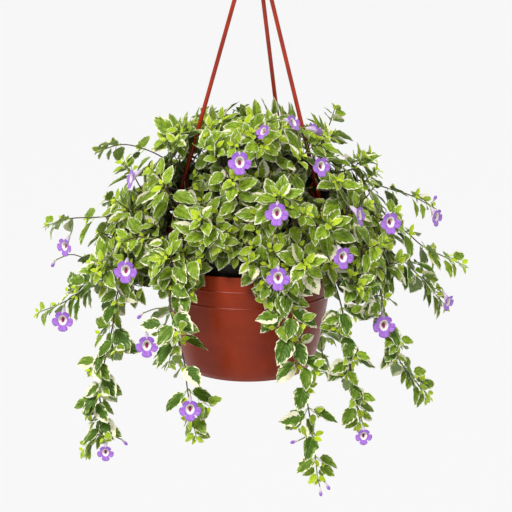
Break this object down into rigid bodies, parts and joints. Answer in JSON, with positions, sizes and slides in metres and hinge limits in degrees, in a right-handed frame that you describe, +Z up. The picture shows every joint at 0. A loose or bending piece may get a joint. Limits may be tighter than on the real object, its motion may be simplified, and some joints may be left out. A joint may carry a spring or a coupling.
{
  "type": "potted chinese violet",
  "caption": "Hanging pot of variegated chinese violet: tapered pot with a dark liner, a three-armed hanger with a hook, trailing leafy stems and violet trumpet blooms.",
  "frame": {"origin": "top of the inside of the hook's loop, the point where the hook bears on what it hangs from", "axes": "+Z up, +X to the right and +Y away from a viewer in front of the pot"},
  "size_m": [0.6491, 0.4153, 0.8592],
  "materials": {
    "pot": "satin terracotta-brown moulded plastic",
    "liner": "thin near-black nursery pot plastic",
    "soil": "dark crumbly potting soil",
    "hanger": "glossy orange-brown moulded plastic",
    "foliage": "soft leaves, green with cream margins",
    "bloom": "thin velvety violet petals"
  },
  "bodies": {
    "root": {"pot": "pot", "liner": "liner", "soil": "soil", "hanger_hook": "hanger", "hanger_arm_left": "hanger", "hanger_arm_right": "hanger", "hanger_arm_back": "hanger", "stem_trail_far_left": "foliage", "stem_trail_left": "foliage", "stem_trail_inner_left": "foliage", "stem_trail_front": "foliage", "stem_trail_inner_right": "foliage", "stem_trail_right": "foliage", "stem_arch_right_low": "foliage", "stem_arch_right": "foliage", "stem_arch_right_high": "foliage", "stem_arch_left": "foliage", "stem_crown_left_high": "foliage", "stem_crown_left": "foliage", "stem_crown_mid_left": "foliage", "stem_crown_mid": "foliage", "stem_crown_right": "foliage", "stem_crown_right_outer": "foliage", "stem_dome_front_high": "foliage", "stem_dome_right_high": "foliage", "stem_dome_left_high": "foliage", "stem_dome_front": "foliage", "stem_dome_front_right": "foliage", "stem_dome_right": "foliage", "stem_dome_left": "foliage", "stem_back_trail_left": "foliage", "stem_back_trail_right": "foliage", "stem_back_dome_left": "foliage", "stem_back_dome_right": "foliage", "bloom_arch_left_tip": "bloom", "bloom_arch_right_tip": "bloom", "bloom_arch_right_top": "bloom", "bloom_back_left": "bloom", "bloom_back_low": "bloom", "bloom_back_right": "bloom", "bloom_back_upper": "bloom", "bloom_crown_behind": "bloom", "bloom_crown_front": "bloom", "bloom_crown_hidden": "bloom", "bloom_crown_right": "bloom", "bloom_crown_turned": "bloom", "bloom_far_left": "bloom", "bloom_front_right": "bloom", "bloom_inner_left_tip": "bloom", "bloom_inner_left_upper": "bloom", "bloom_inner_right_tip": "bloom", "bloom_left_front": "bloom", "bloom_left_turned": "bloom", "bloom_right_turned": "bloom", "bloom_right_upper": "bloom", "bloom_rim_front": "bloom", "bloom_trail_left_tip": "bloom", "bloom_trail_right_upper": "bloom", "bloom_upper_front": "bloom"}
  },
  "joints": []
}
